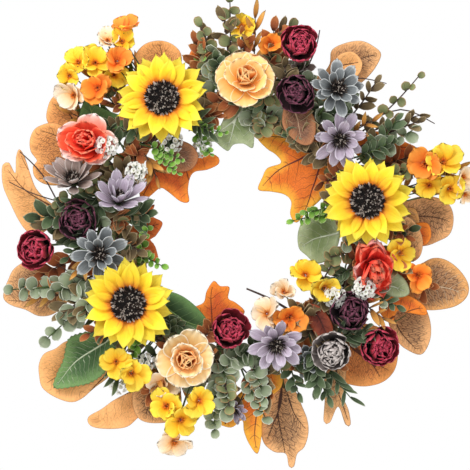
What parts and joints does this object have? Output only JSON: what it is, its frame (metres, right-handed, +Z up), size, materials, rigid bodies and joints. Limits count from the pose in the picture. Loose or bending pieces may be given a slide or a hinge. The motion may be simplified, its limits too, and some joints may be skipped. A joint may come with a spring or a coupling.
{
  "type": "door wreath",
  "caption": "Round door wreath of fabric sunflowers, roses, daisies and autumn leaves wired to a ring of twisted canes, with a wire hanger at the top.",
  "frame": {"origin": "the point inside the top of the wire hanger's eye that bears on the door's hook", "axes": "+Y towards the door, +Z up, +X to the right as the wreath is seen from the front"},
  "size_m": [0.4527, 0.0852, 0.4518],
  "materials": {
    "cane": "dry grapevine bark, matt",
    "binding": "green plastic coat over wire",
    "steel_wire": "plain drawn wire, satin",
    "stem_plastic": "moulded stem over wire, matt",
    "sunflower_petal": "stiffened printed polyester, matt",
    "sunflower_seed": "flocked moulding, matt",
    "cream_petal": "stiffened polyester, cream to apricot",
    "coral_petal": "stiffened polyester, coral to pink",
    "wine_petal": "crimped polyester, wine red",
    "dusty_petal": "crimped polyester, dusty grey brown",
    "grey_petal": "printed polyester, grey with pale edges",
    "mauve_petal": "printed polyester, mauve",
    "tan_leaf": "printed polyester, tan to orange with dark veins",
    "maple_leaf": "printed polyester, orange with dark veins",
    "sage_leaf": "printed polyester, grey green",
    "green_leaf": "printed polyester, green with pale veins",
    "blossom": "printed polyester, yellow to orange"
  },
  "bodies": {
    "wreath": {"binding_wire": "binding", "blossom_spray": "blossom", "cane_1": "cane", "cane_2": "cane", "cane_3": "cane", "cane_4": "cane", "coral_bud": "coral_petal", "coral_rose": "coral_petal", "cream_rose_1_petals": "cream_petal", "cream_rose_1_stem": "stem_plastic", "cream_rose_2_petals": "cream_petal", "cream_rose_2_stem": "stem_plastic", "daisy_1_petals": "grey_petal", "daisy_1_stem": "stem_plastic", "daisy_2_petals": "mauve_petal", "daisy_2_stem": "stem_plastic", "daisy_3_petals": "mauve_petal", "daisy_3_stem": "stem_plastic", "daisy_4_petals": "grey_petal", "daisy_4_stem": "stem_plastic", "daisy_5_petals": "mauve_petal", "daisy_5_stem": "stem_plastic", "daisy_6_petals": "dusty_petal", "daisy_6_stem": "stem_plastic", "dusty_rose": "dusty_petal", "eucalyptus_spray": "sage_leaf", "green_leaf": "green_leaf", "maple_leaf_1": "maple_leaf", "maple_leaf_2": "maple_leaf", "maple_leaf_3": "maple_leaf", "maple_leaf_4": "maple_leaf", "sage_leaf": "sage_leaf", "sunflower_1_disc": "sunflower_seed", "sunflower_1_petals": "sunflower_petal", "sunflower_1_stem": "stem_plastic", "sunflower_2_disc": "sunflower_seed", "sunflower_2_petals": "sunflower_petal", "sunflower_2_stem": "stem_plastic", "sunflower_3_disc": "sunflower_seed", "sunflower_3_petals": "sunflower_petal", "sunflower_3_stem": "stem_plastic", "tan_leaf_1": "tan_leaf", "tan_leaf_10": "tan_leaf", "tan_leaf_11": "tan_leaf", "tan_leaf_2": "tan_leaf", "tan_leaf_3": "tan_leaf", "tan_leaf_4": "tan_leaf", "tan_leaf_5": "tan_leaf", "tan_leaf_6": "tan_leaf", "tan_leaf_7": "tan_leaf", "tan_leaf_8": "tan_leaf", "tan_leaf_9": "tan_leaf", "wine_rose_1": "wine_petal", "wine_rose_2": "wine_petal", "wine_rose_3": "wine_petal", "wine_rose_4": "wine_petal", "wine_rose_5": "wine_petal", "wine_rose_6": "wine_petal", "wine_rose_7": "wine_petal"},
    "hanger": {"hanger_loop": "steel_wire"}
  },
  "joints": [
    {"name": "hanger_swing", "type": "hinge", "parent": "wreath", "child": "hanger", "pos_m": [0, -0.00973, -0.03773], "axis": [-1, 0, 0], "range_deg": [-15, 90]}
  ]
}
